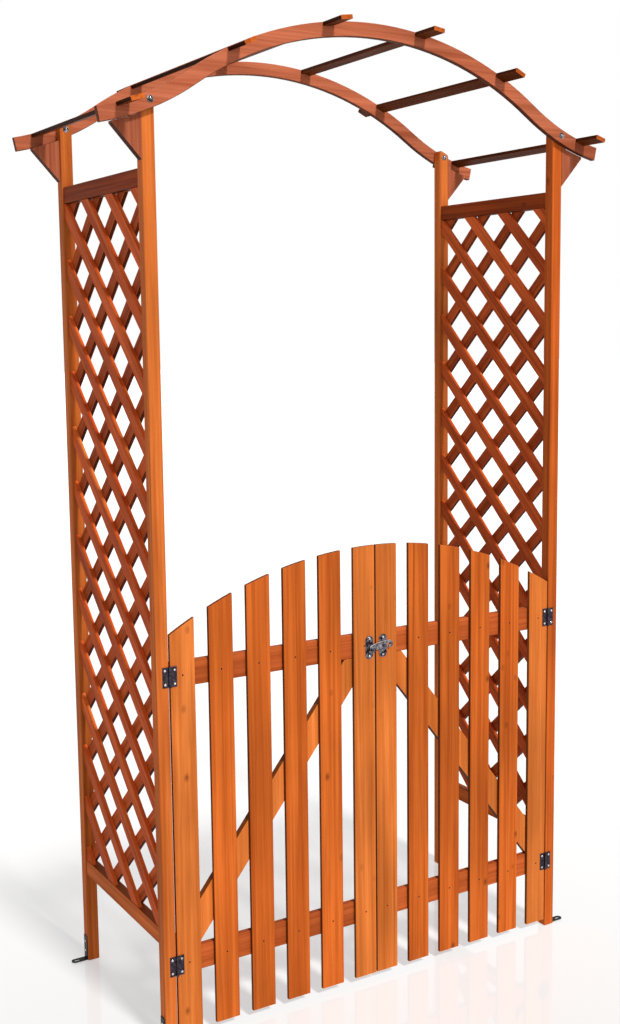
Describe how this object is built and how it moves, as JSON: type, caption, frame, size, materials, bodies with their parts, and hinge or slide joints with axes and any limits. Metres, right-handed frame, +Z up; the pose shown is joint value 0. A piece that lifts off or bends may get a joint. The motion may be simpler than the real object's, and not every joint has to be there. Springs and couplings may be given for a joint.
{
  "type": "garden gate",
  "caption": "Timber rose arch over a double picket gate: curved arches tied by roof battens, lattice side panels, hinged leaves with a curved top line and a lever latch.",
  "frame": {"origin": "on the ground, at the centre of the space between the four posts, below the crown of the arches", "axes": "+X to the right seen from the front, +Y from the gate front towards the back, +Z up"},
  "size_m": [1.2788, 0.666, 2.1835],
  "materials": {
    "stained_timber": "satin orange-brown stain, fine vertical grain, small knots",
    "hinge_steel": "dark burnished",
    "latch_steel": "dark burnished, worn bright on edges",
    "zinc_steel": "bright zinc plate",
    "screw_steel": "bright zinc plate",
    "nail_steel": "dull, stained over",
    "anchor_steel": "dark grey plate"
  },
  "bodies": {
    "frame": {"anchor_screws": "screw_steel", "arch_bolts": "zinc_steel", "arch_nuts": "zinc_steel", "arch_washers": "zinc_steel", "front_arch": "stained_timber", "ground_anchors": "anchor_steel", "hinge_pins": "hinge_steel", "left_front_gusset": "stained_timber", "left_front_post": "stained_timber", "left_lattice_inner": "stained_timber", "left_lattice_outer": "stained_timber", "left_panel_lower_rail": "stained_timber", "left_panel_upper_rail": "stained_timber", "left_rear_gusset": "stained_timber", "left_rear_post": "stained_timber", "post_hinge_plates": "hinge_steel", "post_hinge_screws": "screw_steel", "rear_arch": "stained_timber", "right_front_gusset": "stained_timber", "right_front_post": "stained_timber", "right_lattice_inner": "stained_timber", "right_lattice_outer": "stained_timber", "right_panel_lower_rail": "stained_timber", "right_panel_upper_rail": "stained_timber", "right_rear_gusset": "stained_timber", "right_rear_post": "stained_timber", "rung_1": "stained_timber", "rung_2": "stained_timber", "rung_3": "stained_timber", "rung_4": "stained_timber", "rung_5": "stained_timber", "rung_6": "stained_timber"},
    "left_leaf": {"left_brace": "stained_timber", "left_gate_lower_rail": "stained_timber", "left_gate_upper_rail": "stained_timber", "left_leaf_hinge_plates": "hinge_steel", "left_leaf_nails": "nail_steel", "left_leaf_screws": "screw_steel", "left_picket_1": "stained_timber", "left_picket_2": "stained_timber", "left_picket_3": "stained_timber", "left_picket_4": "stained_timber", "left_picket_5": "stained_timber", "left_picket_6": "stained_timber", "latch_keeper": "latch_steel"},
    "right_leaf": {"right_brace": "stained_timber", "right_gate_lower_rail": "stained_timber", "right_gate_upper_rail": "stained_timber", "right_leaf_hinge_plates": "hinge_steel", "right_leaf_nails": "nail_steel", "right_leaf_screws": "screw_steel", "right_picket_1": "stained_timber", "right_picket_2": "stained_timber", "right_picket_3": "stained_timber", "right_picket_4": "stained_timber", "right_picket_5": "stained_timber", "right_picket_6": "stained_timber", "latch_base": "latch_steel", "latch_pivot": "latch_steel"},
    "latch_lever": {"latch_lever": "latch_steel"}
  },
  "joints": [
    {"name": "left_leaf_hinge", "type": "hinge", "parent": "frame", "child": "left_leaf", "pos_m": [-0.5125, -0.248, 0.4935], "axis": [0, 0, -1], "range_deg": [0, 170]},
    {"name": "right_leaf_hinge", "type": "hinge", "parent": "frame", "child": "right_leaf", "pos_m": [0.5125, -0.248, 0.4935], "axis": [0, 0, 1], "range_deg": [0, 170]},
    {"name": "latch_lever_pivot", "type": "hinge", "parent": "right_leaf", "child": "latch_lever", "pos_m": [0.02, -0.2494, 0.807], "axis": [0, 1, 0], "range_deg": [0, 100]}
  ]
}
